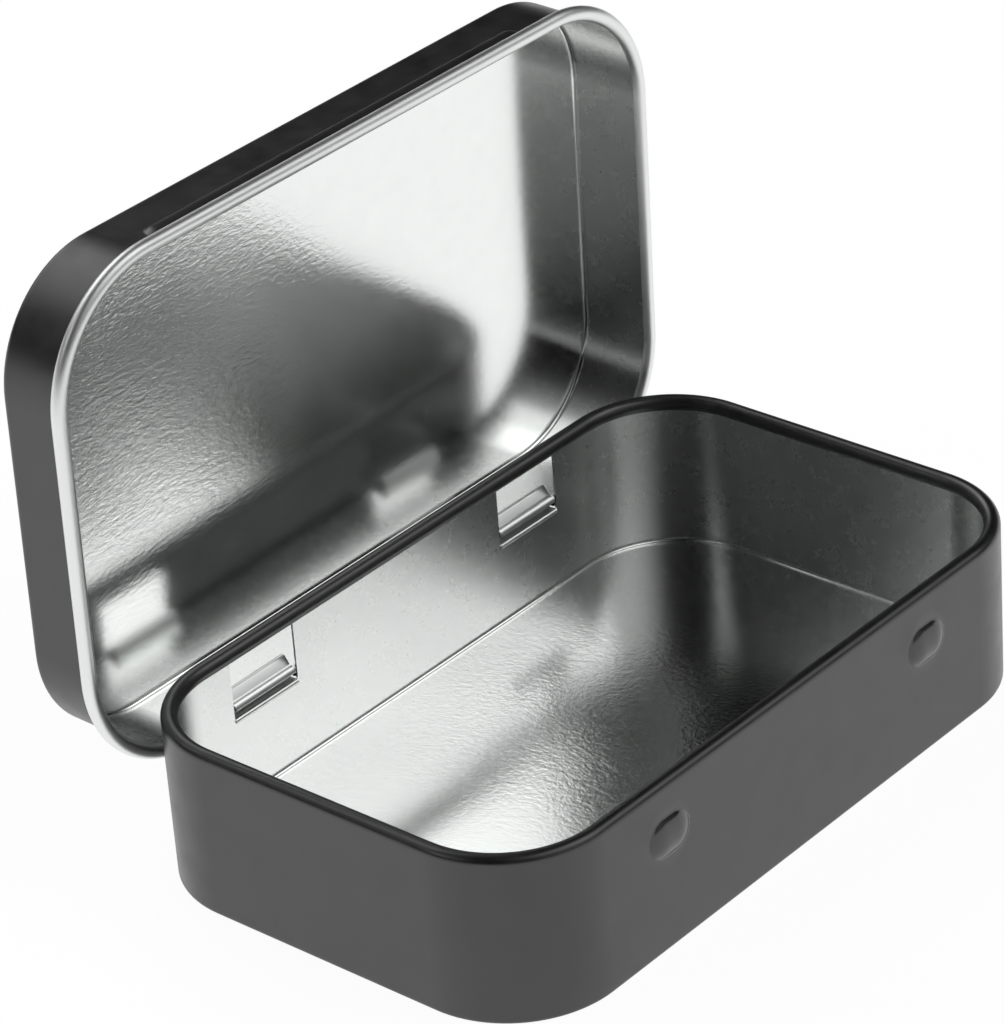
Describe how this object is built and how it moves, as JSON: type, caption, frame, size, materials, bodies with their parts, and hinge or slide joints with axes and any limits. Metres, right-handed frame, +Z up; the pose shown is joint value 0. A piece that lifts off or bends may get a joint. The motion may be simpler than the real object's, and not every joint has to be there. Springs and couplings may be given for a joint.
{
  "type": "hinged pocket tin",
  "caption": "Shallow pocket tin with rounded corners, rolled rims, latch bumps at the front and a hinged lid standing open.",
  "frame": {"origin": "middle of the base's flat underside", "axes": "+X along the long side, to the right seen from the front; +Y towards the hinge; +Z up"},
  "size_m": [0.0946, 0.0662, 0.0699],
  "materials": {
    "black_enamel": "satin",
    "bare_tinplate": "satin"
  },
  "bodies": {
    "base": {"base_tray": "black_enamel", "base_rim_curl": "black_enamel", "hinge_pin_left": "bare_tinplate", "hinge_pin_right": "bare_tinplate"},
    "lid": {"lid_pan": "black_enamel", "lid_rim_curl": "bare_tinplate", "lid_rear_curl": "bare_tinplate", "hinge_tongue_left": "bare_tinplate", "hinge_tongue_right": "bare_tinplate"}
  },
  "joints": [
    {"name": "lid_hinge", "type": "hinge", "parent": "base", "child": "lid", "pos_m": [0, 0.0284, 0.0112], "axis": [1, 0, 0], "range_deg": [0, 89]}
  ]
}
